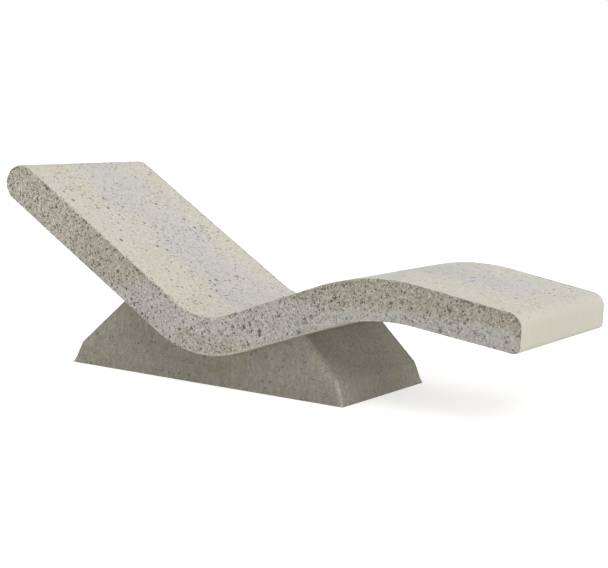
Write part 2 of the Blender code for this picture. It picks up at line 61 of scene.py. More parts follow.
# The slab: centreline from the middle of the head round to the foot face
BACK_LENGTH = 0.760
BACK_ANGLE = math.radians(31.4)
SEAT_RADIUS = 0.300
THIGH_LENGTH = 0.350
THIGH_ANGLE = math.radians(21.3)
KNEE_RADIUS = 0.670
LEG_LENGTH = 0.345
LEG_ANGLE = math.radians(7.8)
SEAT_UNDERSIDE_HEIGHT = 0.111
SLAB_WIDTH = 0.686
HEAD_THICKNESS = 0.128
SEAT_THICKNESS = 0.126
KNEE_THICKNESS = 0.132
FOOT_THICKNESS = 0.115
FOOT_TOP_RADIUS = 0.046
FOOT_BOTTOM_RADIUS = 0.020

# The base block
BASE_LENGTH = 1.092
BASE_HEAD_SHIFT = 0.048
BASE_SETBACK = 0.061
BASE_DRAFT = math.radians(7.2)
BASE_SLOPE = math.radians(45)
TOE_HEIGHT = 0.074
TOE_INSET = 0.028
TOE_RADIUS = 0.040
BED_THICKNESS = 0.005

# Mesh spacing, the broken arrises and the hollows between the exposed stones
STEP = 0.003
ROWS = 40
FLAT_STEP = 0.028
ARRIS_TURNS = 4
SLAB_ARRIS = 0.0014
SLAB_CHIP = 0.0180
SLAB_BEYOND = 0.0030
CRISP_SHARE = 0.12
BASE_ARRIS = 0.0080
BASE_CHIP = 0.0025
SHARP_ARRIS = 0.0008
CORNER_TURN = math.radians(30)
RELIEF = 0.0009
SEED = 11

# Studio: the surroundings, the floor, and the lamps with their place, size, power and colour
SKY_LEVEL = 0.78
FLOOR_REACH = 30.0
FLOOR_COLOUR = 0.85
FLOOR_LIFT = 0.45
LIT_PLACE = Vector((0.0, 0.0, 0.3))
LAMPS = (
    ("soft_key", (3.6, -3.2, 5.0), 4.0, 130.0, (1.0, 0.99, 0.97)),
    ("low_fill", (5.2, -1.6, 0.9), 2.5, 42.0, (1.0, 0.97, 0.92)),
)

# The photograph's view, found by fitting the object's edges
VIEW_YAW = math.radians(30.669)
VIEW_PITCH = math.radians(7.513)
VIEW_ROLL = math.radians(2.824)
VIEW_PLACE = (2.7208, -4.5117, 1.0266)
LENS = 92.07
SENSOR = 36.0

# Length and turn of each stretch of the centreline, and where they meet along it
STRETCHES = (
    (BACK_LENGTH, 0.0),
    (SEAT_RADIUS * (BACK_ANGLE + THIGH_ANGLE), BACK_ANGLE + THIGH_ANGLE),
    (THIGH_LENGTH, 0.0),
    (KNEE_RADIUS * (THIGH_ANGLE + LEG_ANGLE), -THIGH_ANGLE - LEG_ANGLE),
    (LEG_LENGTH, 0.0),
)
SEAT_START = BACK_LENGTH
SEAT_END = SEAT_START + STRETCHES[1][0]
KNEE_START = SEAT_END + THIGH_LENGTH
KNEE_END = KNEE_START + STRETCHES[3][0]
FOOT_END = KNEE_END + LEG_LENGTH
SEAT_LOWEST = SEAT_START + SEAT_RADIUS * BACK_ANGLE


def centreline(distance):
    """Place and heading of the slab's centreline."""
    x, z, heading = 0.0, 0.0, -BACK_ANGLE
    left = distance
    for length, turn in STRETCHES:
        step = min(left, length)
        if turn:
            radius = length / turn
            next_heading = heading + step / radius
            x += radius * (math.sin(next_heading) - math.sin(heading))
            z -= radius * (math.cos(next_heading) - math.cos(heading))
            heading = next_heading
        else:
            x += step * math.cos(heading)
            z += step * math.sin(heading)
        left -= step
    return x, z, heading


HEAD_X = (HEAD_THICKNESS / 2 - centreline(FOOT_END)[0]) / 2
HEAD_Z = SEAT_UNDERSIDE_HEIGHT + SEAT_THICKNESS / 2 - centreline(SEAT_LOWEST)[1]


def thickness(distance):
    """Thickness of the slab at a distance along its centreline."""
    marks = (0.0, (SEAT_START + SEAT_END) / 2, (KNEE_START + KNEE_END) / 2, FOOT_END)
    values = (HEAD_THICKNESS, SEAT_THICKNESS, KNEE_THICKNESS, FOOT_THICKNESS)
    return float(np.interp(distance, marks, values))


def slab_point(distance, offset):
    """Point of the side view at an offset above the centreline."""
    x, z, heading = centreline(distance)
    return np.array((HEAD_X + x - offset * math.sin(heading), HEAD_Z + z + offset * math.cos(heading)))


def fillet(before, corner, after, radius, steps):
    """Points of the arc that rounds a corner of the side view."""
    back = (before - corner) / np.linalg.norm(before - corner)
    ahead = (after - corner) / np.linalg.norm(after - corner)
    half = math.acos(float(back @ ahead)) / 2
    bisector = (back + ahead) / np.linalg.norm(back + ahead)
    centre = corner + bisector * (radius / math.sin(half))
    start = corner + back * (radius / math.tan(half)) - centre
    end = corner + ahead * (radius / math.tan(half)) - centre
    sweep = math.pi - 2 * half

    def point(share):
        arm = start * math.sin(sweep * (1 - share)) + end * math.sin(sweep * share)
        return centre + arm / math.sin(sweep)

    return [point(share) for share in np.linspace(0.0, 1.0, steps + 1)]


def resample(path, count):
    """Evenly spaced points along a path."""
    path = np.array(path)
    along = np.concatenate(([0.0], np.cumsum(np.linalg.norm(np.diff(path, axis=0), axis=1))))
    wanted = np.linspace(0.0, along[-1], count)
    return np.stack([np.interp(wanted, along, path[:, axis]) for axis in (0, 1)], axis=1)


def slab_sides():
    """Upper and lower edge of the slab in side view, as matching points from tip to foot face."""
    turns = int(math.pi * HEAD_THICKNESS / 4 / STEP)
    centre = slab_point(0.0, 0.0)
    up = np.array((math.sin(BACK_ANGLE), math.cos(BACK_ANGLE)))
    along = np.array((math.cos(BACK_ANGLE), -math.sin(BACK_ANGLE)))
    radius = HEAD_THICKNESS / 2
    upper, lower = [], []
    for angle in np.linspace(math.pi / 2, 0.0, turns + 1)[:-1]:
        upper.append(centre + radius * (up * math.cos(angle) - along * math.sin(angle)))
        lower.append(centre - radius * (up * math.cos(angle) + along * math.sin(angle)))
    last = FOOT_END - FOOT_TOP_RADIUS
    stations = np.linspace(0.0, last, int(last / STEP) + 1)
    for value in stations[:-1]:
        upper.append(slab_point(value, thickness(value) / 2))
        lower.append(slab_point(value, -thickness(value) / 2))
    foot = slab_point(FOOT_END, 0.0)
    rise = np.array((0.0, FOOT_THICKNESS / 2 / math.cos(LEG_ANGLE)))
    top, bottom = slab_point(last, thickness(last) / 2), slab_point(last, -thickness(last) / 2)
    upper_path = [top] + fillet(top, foot + rise, foot, FOOT_TOP_RADIUS, ROWS)
    lower_path = [bottom] + fillet(bottom, foot - rise, foot, FOOT_BOTTOM_RADIUS, ROWS)
    count = int((FOOT_TOP_RADIUS + FOOT_BOTTOM_RADIUS) / STEP)
    upper = np.concatenate((upper, resample(upper_path, count)))
    lower = np.concatenate((lower, resample(lower_path, count)))
    return upper, lower


def base_half_width(height):
    """Half the base's width at a height above the floor."""
    return SLAB_WIDTH / 2 - BASE_SETBACK - height * math.tan(BASE_DRAFT)


BASE_MIDDLE = slab_point(SEAT_LOWEST, 0.0)[0] - BASE_HEAD_SHIFT
BASE_HEAD_END = BASE_MIDDLE - BASE_LENGTH / 2
BASE_FOOT_END = BASE_MIDDLE + BASE_LENGTH / 2


def base_top(x):
    """Height of the base at a place along it, before its kinks are rounded."""
    stations = np.linspace(0.0, KNEE_START, int(KNEE_START / STEP))
    cradle = np.array([slab_point(value, -thickness(value) / 2 - BED_THICKNESS) for value in stations])
    heights = [np.interp(x, cradle[:, 0], cradle[:, 1])]
    for inward in (x - BASE_HEAD_END, BASE_FOOT_END - x):
        toe = TOE_HEIGHT * inward / TOE_INSET
        slope = TOE_HEIGHT + (inward - TOE_INSET) * math.tan(BASE_SLOPE)
        heights.append(np.where(inward < TOE_INSET, toe, slope))
    return np.min(heights, axis=0)


def base_sides():
    """Upper and lower edge of the base in side view, as matching points from end to end."""
    fine = np.linspace(BASE_HEAD_END, BASE_FOOT_END, int(BASE_LENGTH / STEP) * 8)
    outline = np.stack((fine, base_top(fine)), axis=1)
    for end, direction in ((BASE_HEAD_END, 1), (BASE_FOOT_END, -1)):
        toe = np.array((end + direction * TOE_INSET, TOE_HEIGHT))
        beyond = toe + np.array((direction * math.cos(BASE_SLOPE), math.sin(BASE_SLOPE)))
        arc = np.array(fillet(np.array((end, 0.0)), toe, beyond, TOE_RADIUS, ROWS))
        arc = arc[::direction]
        low, high = arc[:, 0].min(), arc[:, 0].max()
        inside = (outline[:, 0] > low) & (outline[:, 0] < high)
        outline[inside, 1] = np.interp(outline[inside, 0], arc[:, 0], arc[:, 1])
    upper = resample(outline, int(len(fine) / 6))
    lower = np.stack((upper[:, 0], np.zeros(len(upper))), axis=1)
    return upper, lower


def inward_normals(loop):
    """Unit normals that point into a closed loop of the side view."""
    ahead = np.roll(loop, -1, axis=0) - np.roll(loop, 1, axis=0)
    normals = np.stack((ahead[:, 1], -ahead[:, 0]), axis=1)
    normals /= np.linalg.norm(normals, axis=1)[:, None]
    area = np.sum(loop[:, 0] * np.roll(loop[:, 1], -1) - np.roll(loop[:, 0], -1) * loop[:, 1])
    return normals * (1 if area < 0 else -1)


def wobble(count, reach, rng):
    """Random values from 0 to 1 along a closed loop, smoothed over a reach of points."""
    values = rng.random(count)
    kernel = np.hanning(reach + 2)
    padded = np.concatenate((values[-reach:], values, values[:reach]))
    smooth = np.convolve(padded, kernel / kernel.sum(), mode="same")[reach:reach + count]
    low, high = smooth.min(), smooth.max()
    return (smooth - low) / (high - low)


def room_for_arris(loop):
    """Distance from each point of a loop to the nearest sharp corner of the loop."""
    ahead = np.roll(loop, -1, axis=0) - loop
    heading = np.arctan2(ahead[:, 1], ahead[:, 0])
    turn = heading - np.roll(heading, 1)
    turn = np.abs((turn + math.pi) % (2 * math.pi) - math.pi)
    corners = loop[turn > CORNER_TURN]
    if not len(corners):
        return np.full(len(loop), 1.0)
    return np.linalg.norm(loop[:, None] - corners[None], axis=2).min(axis=1)


class Casting:
    """Closed mesh of a casting: strips across it, broken arrises and two side faces.

    upper and lower are matching points of the side view. half_width gives half the width at
    a height, sizes the size of the broken edge at each point of the outline, most_beyond the
    most that it reaches on the side of +Y, and relief the depth of the hollows between the
    stones of the side faces. Each point keeps its distance along the casting and its share of
    the way down through it, for the materials.
    """

    def __init__(self, upper, lower, half_width, sizes, most_beyond, relief, rng):
        self.upper, self.lower = np.array(upper), np.array(lower)
        self.half_width = half_width
        self.relief = relief
        self.rng = rng
        self.shares = np.linspace(0.0, 1.0, ROWS + 1)
        self.blunt = np.linalg.norm(self.upper[-1] - self.lower[-1]) > STEP
        axis = (self.upper + self.lower) / 2
        spans = np.linalg.norm(np.diff(axis, axis=0), axis=1)
        self.along = np.concatenate(([0.0], np.cumsum(spans)))
        self.points, self.marks, self.faces, self.kinds = [], [], [], []
        self.loop, self.loop_marks = self.outline()
        self.normals = inward_normals(self.loop)
        self.size = np.minimum(sizes(self.loop), SHARP_ARRIS + room_for_arris(self.loop) / 2)
        self.size_beyond = np.minimum(self.size, most_beyond)
        self.widths = np.array([half_width(place[1]) for place in self.loop])
        self.skin()
        for side, edge in zip((-1, 1), self.edges):
            self.side_face(side, edge)

    def outline(self):
        """Closed outline in side view, and what each of its points keeps."""
        places = [(place, (far, 0.0)) for place, far in zip(self.upper, self.along)]
        if self.blunt:
            top, bottom = self.upper[-1], self.lower[-1]
            for share in self.shares[1:-1]:
                places.append((top + (bottom - top) * share, (self.along[-1], share)))
        last = len(self.lower) if self.blunt else len(self.lower) - 1
        places += [(self.lower[index], (self.along[index], 1.0)) for index in range(last - 1, 0, -1)]
        return np.array([place for place, _ in places]), [mark for _, mark in places]

    def ring(self, inset, across):
        """One copy of the outline, drawn in by an inset, at a distance across."""
        start = len(self.points)
        drawn = self.loop + self.normals * inset[:, None]
        self.points += [(place[0], y, place[1]) for place, y in zip(drawn, across)]
        self.marks += self.loop_marks
        return start

    def join(self, first, second, kind):
        """Strip of faces between two rings."""
        total = len(self.loop)
        for index in range(total):
            after = (index + 1) % total
            self.faces.append((first + index, first + after, second + after, second + index))
            self.kinds.append(kind)

    def arris(self, side, size, turns):
        """Rings of the rounded arris of one side, a quarter turn in steps."""
        return [
            self.ring(size * (1 - math.sin(turn)), side * (self.widths - size * (1 - math.cos(turn))))
            for turn in turns
        ]

    def skin(self):
        """Rounded arrises along both sides, and the strips between them."""
        turns = np.linspace(0.0, math.pi / 2, ARRIS_TURNS + 1)
        flat = self.size * 0
        margins = (STEP, 3 * STEP)
        near = self.arris(-1, self.size, turns)
        near += [self.ring(flat, self.size + margin - self.widths) for margin in margins]
        inner = self.widths - self.size - margins[-1]
        lines = np.linspace(-1.0, 1.0, int(SLAB_WIDTH / FLAT_STEP))
        middle = [self.ring(flat, share * inner) for share in lines[1:-1]]
        far = [self.ring(flat, self.widths - self.size_beyond - margin) for margin in margins[::-1]]
        far += self.arris(1, self.size_beyond, turns[::-1])
        rings = near + middle + far
        for number, (first, second) in enumerate(zip(rings, rings[1:])):
            rough = number < ARRIS_TURNS or number >= len(rings) - 1 - ARRIS_TURNS
            self.join(first, second, 1 if rough else 0)
        self.edges = (rings[0], rings[-1])

    def side_face(self, side, edge):
        """Grid of one side face, hollowed a little at random between its stones."""
        count, total = len(self.upper), len(self.loop)
        grid = np.zeros((count, ROWS + 1), int)
        grid[:, 0] = edge + np.arange(count)
        grid[1:, ROWS] = edge + (total - np.arange(1, count)) % total
        grid[0, :] = edge
        if self.blunt:
            grid[-1, 1:ROWS] = edge + count - 1 + np.arange(1, ROWS)
        else:
            grid[-1, :] = edge + count - 1
        hollow = self.rng.random((count, ROWS + 1)) * self.relief
        for column in range(1, count - 1):
            top, bottom = (np.array(self.points[grid[column, row]]) for row in (0, ROWS))
            for row in range(1, ROWS):
                place = top + (bottom - top) * self.shares[row]
                grid[column, row] = len(self.points)
                across = side * (self.half_width(place[2]) - hollow[column, row])
                self.points.append((place[0], across, place[2]))
                self.marks.append((self.along[column], self.shares[row]))
        for here, ahead in zip(grid, grid[1:]):
            for row in range(ROWS):
                quad = (here[row], here[row + 1], ahead[row + 1], ahead[row])
                corners = list(dict.fromkeys(int(index) for index in quad))
                if len(corners) > 2:
                    self.faces.append(corners if side < 0 else corners[::-1])
                    self.kinds.append(1)

    def build(self, name, materials):
        mesh = bpy.data.meshes.new(name)
        mesh.from_pydata(self.points, [], self.faces)
        mesh.polygons.foreach_set("material_index", self.kinds)
        for number, key in enumerate(("along", "down")):
            layer = mesh.attributes.new(key, "FLOAT", "POINT")
            layer.data.foreach_set("value", [mark[number] for mark in self.marks])
        for material in materials:
            mesh.materials.append(material)
        mesh.shade_smooth()
        mesh.update()
        piece = bpy.data.objects.new(name, mesh)
        bpy.context.scene.collection.objects.link(piece)
        return piece


class Shade:
    """One material and short names for its nodes."""

    def __init__(self, name):
        self.material = bpy.data.materials.new(name)
        self.material.use_nodes = True
        self.tree = self.material.node_tree
        self.shader = self.tree.nodes["Principled BSDF"]
        self.place = self.make("ShaderNodeTexCoord").outputs["Object"]

    def feed(self, socket, value):
        """Link a socket to another one, or set its value."""
        if isinstance(value, bpy.types.NodeSocket):
            self.tree.links.new(value, socket)
        elif hasattr(socket.default_value, "__len__") and not hasattr(value, "__len__"):
            socket.default_value = (value,) * len(socket.default_value)
        elif socket.type == "RGBA" and len(value) == 3:
            socket.default_value = (*value, 1.0)
        else:
            socket.default_value = value

    def make(self, kind, inputs=None, **settings):
        node = self.tree.nodes.new(kind)
        for key, value in settings.items():
            setattr(node, key, value)
        for key, value in (inputs or {}).items():
            self.feed(node.inputs[key], value)
        return node

    def math(self, operation, first, second=0.0, clamp=False):
        inputs = {0: first, 1: second}
        return self.make("ShaderNodeMath", inputs, operation=operation, use_clamp=clamp).outputs[0]

    def plus(self, first, second):
        return self.math("ADD", first, second)

    def minus(self, first, second, clamp=False):
        return self.math("SUBTRACT", first, second, clamp)

    def times(self, first, second):
        return self.math("MULTIPLY", first, second)

    def away(self, value, middle=0.0):
        """How far a value lies from a middle one, either way."""
        return self.math("ABSOLUTE", self.minus(value, middle))

    def vector(self, operation, inputs, output="Vector"):
        return self.make("ShaderNodeVectorMath", inputs, operation=operation).outputs[output]

    def axes(self, vector=None):
        node = self.make("ShaderNodeSeparateXYZ", {0: vector or self.place})
        return node.outputs[0], node.outputs[1], node.outputs[2]

    def noise(self, scale, detail=2.0, rough=0.5, vector=None, colour=False):
        node = self.make(
            "ShaderNodeTexNoise",
            {"Vector": vector or self.place, "Scale": scale, "Detail": detail, "Roughness": rough},
        )
        return node.outputs["Color" if colour else "Fac"]

    def attribute(self, name):
        node = self.make("ShaderNodeAttribute", attribute_name=name, attribute_type="GEOMETRY")
        return node.outputs["Fac"]

    def cells(self, scale, vector=None):
        """Distance to the nearest point of a scatter, and that point's random colour."""
        inputs = {"Vector": vector or self.place, "Scale": scale}
        node = self.make("ShaderNodeTexVoronoi", inputs, feature="F1")
        return node.outputs["Distance"], node.outputs["Color"]

    def borders(self, scale, vector):
        """Distance to the border between the cells of a scatter."""
        inputs = {"Vector": vector, "Scale": scale}
        return self.make("ShaderNodeTexVoronoi", inputs, feature="DISTANCE_TO_EDGE").outputs["Distance"]

    def stretched(self, vector, factors):
        """A place drawn out along its axes, so that what it feeds is long along the small factors."""
        return self.vector("MULTIPLY", {0: vector, 1: factors})

    def tinted(self, colour, factor, low, high):
        """A colour times a grey that goes from low to high with a factor."""
        grey = self.ramp(factor, ((0.0, (low,) * 3), (1.0, (high,) * 3)))
        return self.mix(1.0, colour, grey, "MULTIPLY")

    def fade(self, value, low, high, start=0.0, end=1.0):
        """From start to end, smoothly, while a value goes from low to high."""
        node = self.make("ShaderNodeMapRange", {0: value, 1: low, 2: high, 3: start, 4: end})
        node.interpolation_type = "SMOOTHSTEP"
        return node.outputs[0]

    def mix(self, factor, first, second, blend="MIX"):
        node = self.make("ShaderNodeMix", data_type="RGBA", blend_type=blend)
        for index, value in ((0, factor), (6, first), (7, second)):
            self.feed(node.inputs[index], value)
        return node.outputs[2]

    def ramp(self, factor, stops):
        node = self.make("ShaderNodeValToRGB", {0: factor})
        elements = node.color_ramp.elements
        while len(elements) < len(stops):
            elements.new(0.5)
        for element, (position, colour) in zip(elements, stops):
            element.position = position
            element.color = (*colour, 1.0)
        return node.outputs[0]

    def warped(self, scale, amount):
        """The place, pushed about by noise, so that round cells become stones."""
        push = self.vector("SUBTRACT", {0: self.noise(scale, 1.0, colour=True), 1: (0.5,) * 3})
        return self.vector("ADD", {0: self.place, 1: self.vector("SCALE", {0: push, "Scale": amount})})

    def finish(self, colour, roughness, height=None, strength=0.5, distance=0.001):
        self.feed(self.shader.inputs["Base Color"], colour)
        self.feed(self.shader.inputs["Roughness"], roughness)
        if height is not None:
            inputs = {"Height": height, "Strength": strength, "Distance": distance}
            bump = self.make("ShaderNodeBump", inputs)
            self.feed(self.shader.inputs["Normal"], bump.outputs[0])
        return self.material


def srgb(red, green, blue):
    """Linear colour of a screen colour from 0 to 255."""
    return tuple(
        value / 255 / 12.92 if value <= 10 else ((value / 255 + 0.055) / 1.055) ** 2.4
        for value in (red, green, blue)
    )


def specks(shade, scale, wanted, size, warp):
    """Mask of scattered round specks: the share of cells that hold one and their size."""
    distance, pick = shade.cells(scale, warp)
    red, green, blue = shade.axes(pick)
    radius = shade.times(size, shade.plus(0.45, shade.times(green, 0.8)))
    soft = shade.minus(radius, distance)
    spot = shade.fade(soft, 0.0, 0.07)
    held = shade.math("LESS_THAN", red, wanted)
    return shade.times(spot, held), blue


def speckled(shade, colour, height, layer, strength, warp):
    """Colour and height with one layer of specks, each in one of three tones and a little pit."""
    scale, wanted, size, tones = layer
    mask, tint = specks(shade, scale, wanted, size, warp)
    tone = shade.ramp(tint, [(number / 2, srgb(*tones[number])) for number in range(3)])
    mask = shade.times(mask, strength)
    return shade.mix(mask, colour, tone), shade.minus(height, shade.times(mask, 0.5))


# Grey clouds of the slab's top: the middle of their belt across it and where they thin out
GREY_BELT_Y = 0.07
GREY_END = 2.05

# Where the top darkens towards the foot, where its specks blur, and where its rim starts across it
LEG_START = 1.30
LEG_BLUR = (1.50, 1.80)
RIM_START = SLAB_WIDTH / 2 - 0.016

# The foot face: how far it lies from the head's tip, and the painted shade that darkens it
FOOT_FACE = FOOT_END + HEAD_THICKNESS / 2
FOOT_PAINTED_SHADE = (0.925, 0.91, 0.895)

# Scale of the side's sand, where the dust on the base fades along it, and the bars' rib pitch
SAND_SCALE = 430.0
DUST_START = BASE_HEAD_END + 0.05
RIB_PITCH = 0.006

# How light the side is along the slab, beside its own stones: partly the concrete's own tone and partly
# painted light and shade
SIDE_LEVELS = (
    (0.00, 1.12), (0.28, 1.12), (0.42, 1.16), (0.62, 1.13), (0.72, 1.04), (0.94, 1.15),
    (1.16, 1.04), (1.26, 1.04), (1.36, 0.94), (1.50, 1.00), (2.00, 0.91),
)
SIDE_SPAN = 2.2

# How light sand, grit and stones are beside the concrete round them
GREYS_OF_SAND = (
    (0.0, (0.58, 0.57, 0.56)), (0.3, (0.86, 0.86, 0.85)),
    (0.7, (1.06, 1.06, 1.05)), (1.0, (1.26, 1.25, 1.24)),
)
GREYS_OF_GRIT = (
    (0.0, (0.28, 0.28, 0.28)), (0.09, (0.55, 0.55, 0.54)), (0.23, (0.86, 0.85, 0.84)),
    (0.60, (1.07, 1.07, 1.07)), (0.85, (1.25, 1.26, 1.27)), (1.0, (1.40, 1.42, 1.43)),
)
GREYS_OF_STONES = (
    (0.0, (0.22, 0.22, 0.22)), (0.35, (0.36, 0.36, 0.36)), (0.55, (0.58, 0.57, 0.56)),
    (0.80, (1.06, 1.06, 1.06)), (1.0, (1.30, 1.31, 1.31)),
)
GREYS_OF_PEBBLES = (
    (0.0, (0.24, 0.24, 0.24)), (0.5, (0.34, 0.34, 0.34)),
    (0.9, (0.46, 0.45, 0.44)), (1.0, (0.60, 0.58, 0.57)),
)

# The largest stones of the near side: place along and above the floor, radius and tone
RED_STONE = (150, 126, 115)
GREY_STONE = (108, 105, 101)
BROWN_STONE = (102, 95, 83)
LARGEST_STONES = (
    (0.281, 0.285, 0.0084, RED_STONE),
    (0.092, 0.217, 0.0085, GREY_STONE),
    (0.258, 0.278, 0.0054, GREY_STONE),
    (0.162, 0.276, 0.0050, GREY_STONE),
    (0.235, 0.234, 0.0054, GREY_STONE),
    (-0.378, 0.218, 0.0062, GREY_STONE),
    (-0.221, 0.185, 0.0055, GREY_STONE),
    (-0.122, 0.190, 0.0053, GREY_STONE),
    (0.945, 0.292, 0.0064, GREY_STONE),
    (0.758, 0.362, 0.0068, BROWN_STONE),
    (0.818, 0.343, 0.0054, BROWN_STONE),
    (0.351, 0.345, 0.0052, BROWN_STONE),
    (-0.762, 0.545, 0.0056, BROWN_STONE),
    (-0.804, 0.605, 0.0060, BROWN_STONE),
)


def cast_concrete():
    """Smooth cream concrete with grey clouds, soft mottling, specks in drifts, and painted light and
    shade.
    """
    shade = Shade("cast_cream_concrete")
    y = shade.axes()[1]
    along = shade.attribute("along")
    cream = srgb(203, 198, 184)
    pale = srgb(203, 200, 191)
    rosy = srgb(204, 196, 183)
    khaki = srgb(199, 197, 179)
    hue = shade.fade(shade.noise(13.0, 3.0, 0.6), 0.42, 0.60)
    grey = shade.mix(hue, srgb(198, 195, 195), srgb(196, 196, 191))
    colour = shade.mix(shade.fade(shade.noise(8.0, 4.0, 0.6), 0.35, 0.68), cream, pale)
    rosy_patch = shade.fade(shade.noise(5.0, 3.0, 0.6, shade.warped(2.0, 0.4)), 0.56, 0.70)
    colour = shade.mix(shade.times(rosy_patch, 0.32), colour, rosy)
    khaki_patch = shade.fade(shade.noise(11.0, 4.0, 0.65, shade.warped(3.0, 0.2)), 0.50, 0.64)
    colour = shade.mix(shade.times(khaki_patch, 0.6), colour, khaki)
    belt = shade.fade(shade.away(y, GREY_BELT_Y), 0.06, 0.26, 1.0, 0.0)
    clouds = shade.noise(9.0, 6.0, 0.7)
    clouds = shade.plus(clouds, shade.fade(along, 1.70, 2.0, 0.0, 0.06))
    cloud = shade.fade(shade.plus(clouds, shade.times(belt, 0.26)), 0.50, 0.86)
    cloud = shade.times(cloud, shade.fade(along, GREY_END - 0.10, GREY_END, 1.0, 0.2))
    colour = shade.mix(cloud, colour, grey)
    colour = shade.tinted(colour, shade.fade(along, LEG_START, LEG_START + 0.3), 1.0, 0.975)
    # Painted light: the far half of the top is a little lighter
    colour = shade.tinted(colour, shade.fade(y, 0.0, 0.25), 1.0, 1.045)
    colour = shade.tinted(colour, shade.fade(y, RIM_START, SLAB_WIDTH / 2 - 0.004), 1.0, 0.88)
    # Painted light: the slab's underside is lighter, short of the foot face, standing in for light from
    # the floor
    painted_underside_light = shade.fade(shade.attribute("down"), 0.9, 1.0)
    painted_underside_light = shade.times(painted_underside_light, shade.fade(along, FOOT_FACE - 0.12, FOOT_FACE - 0.05, 1.0, 0.0))
    colour = shade.tinted(colour, painted_underside_light, 1.0, 1.30)
    # On the foot face the colour loses its mottling and specks, and painted shade darkens it
    calm = shade.fade(along, FOOT_FACE - 0.06, FOOT_FACE, 0.0, 0.9)
    plain_with_painted_shade = shade.mix(1.0, colour, FOOT_PAINTED_SHADE, "MULTIPLY")
    mottle = shade.noise(75.0, 4.0, 0.7)
    colour = shade.tinted(colour, shade.fade(mottle, 0.30, 0.70), 0.90, 1.07)
    blurred = shade.fade(shade.noise(48.0, 3.0, 0.6), 0.40, 0.62)
    blurred = shade.times(blurred, shade.fade(along, *LEG_BLUR))
    colour = shade.tinted(colour, blurred, 1.0, 0.955)
    grain = shade.noise(230.0, 3.0, 0.7)
    colour = shade.tinted(colour, shade.fade(grain, 0.25, 0.75), 0.91, 1.07)

    warp = shade.warped(120.0, 0.005)
    crowd = shade.fade(shade.noise(6.5, 3.0, 0.6), 0.42, 0.62)
    thick = shade.plus(shade.times(crowd, 0.7), shade.times(cloud, 0.3))
    height = shade.times(grain, 0.25)
    for scale, few, many, size, most, tones in (
        (150.0, 0.22, 0.54, 0.48, 0.66, ((150, 143, 126), (134, 131, 122), (168, 160, 148))),
        (80.0, 0.12, 0.38, 0.38, 0.80, ((132, 124, 108), (120, 120, 118), (138, 124, 106))),
        (45.0, 0.02, 0.22, 0.31, 0.86, ((92, 88, 78), (92, 95, 99), (106, 90, 76))),
    ):
        layer = (scale, shade.fade(thick, 0.0, 1.0, few, many), size, tones)
        strength = shade.fade(along, *LEG_BLUR, most, most * 0.95)
        colour, height = speckled(shade, colour, height, layer, strength, warp)
    at_side = shade.fade(shade.away(y), RIM_START, SLAB_WIDTH / 2 - 0.003, 0.0, 0.6)
    grit, _ = specks(shade, 115.0, at_side, 0.50, warp)
    colour = shade.mix(shade.times(grit, 0.85), colour, srgb(112, 106, 94))
    colour = shade.mix(calm, colour, plain_with_painted_shade)
    roughness = shade.fade(shade.noise(30.0, 3.0), 0.3, 0.7, 0.72, 0.86)
    return shade.finish(colour, roughness, height, 0.35, 0.0006)


def side_zones(shade):
    """How cool, pale and calm the side is, by the distance along it and the way down it."""
    along, down = shade.attribute("along"), shade.attribute("down")
    wander = shade.times(shade.minus(shade.noise(16.0, 6.0, 0.8), 0.5), 0.30)
    place = shade.plus(along, wander)
    level = shade.plus(down, shade.times(wander, 2.0))
    slant_in = shade.plus(place, shade.times(down, 0.13))
    slant_out = shade.minus(place, shade.times(down, 0.23))
    middle = shade.times(shade.fade(slant_in, 0.66, 0.73), shade.fade(slant_out, 1.31, 1.37, 1.0, 0.0))
    under_seat = shade.fade(shade.away(place, 1.00), 0.06, 0.14, 1.0, 0.0)
    under_seat = shade.times(under_seat, shade.fade(level, 0.40, 0.60))
    middle = shade.minus(middle, shade.times(under_seat, 0.85), clamp=True)
    rising = shade.fade(along, 1.84, 2.00, 0.0, 0.25)
    belt = shade.fade(shade.plus(level, rising), 0.60, 0.78)
    belt = shade.times(belt, shade.fade(place, 1.36, 1.46))
    pale = shade.fade(place, 0.28, 0.42, 1.0, 0.0)
    return shade.math("MAXIMUM", middle, belt), pale, belt


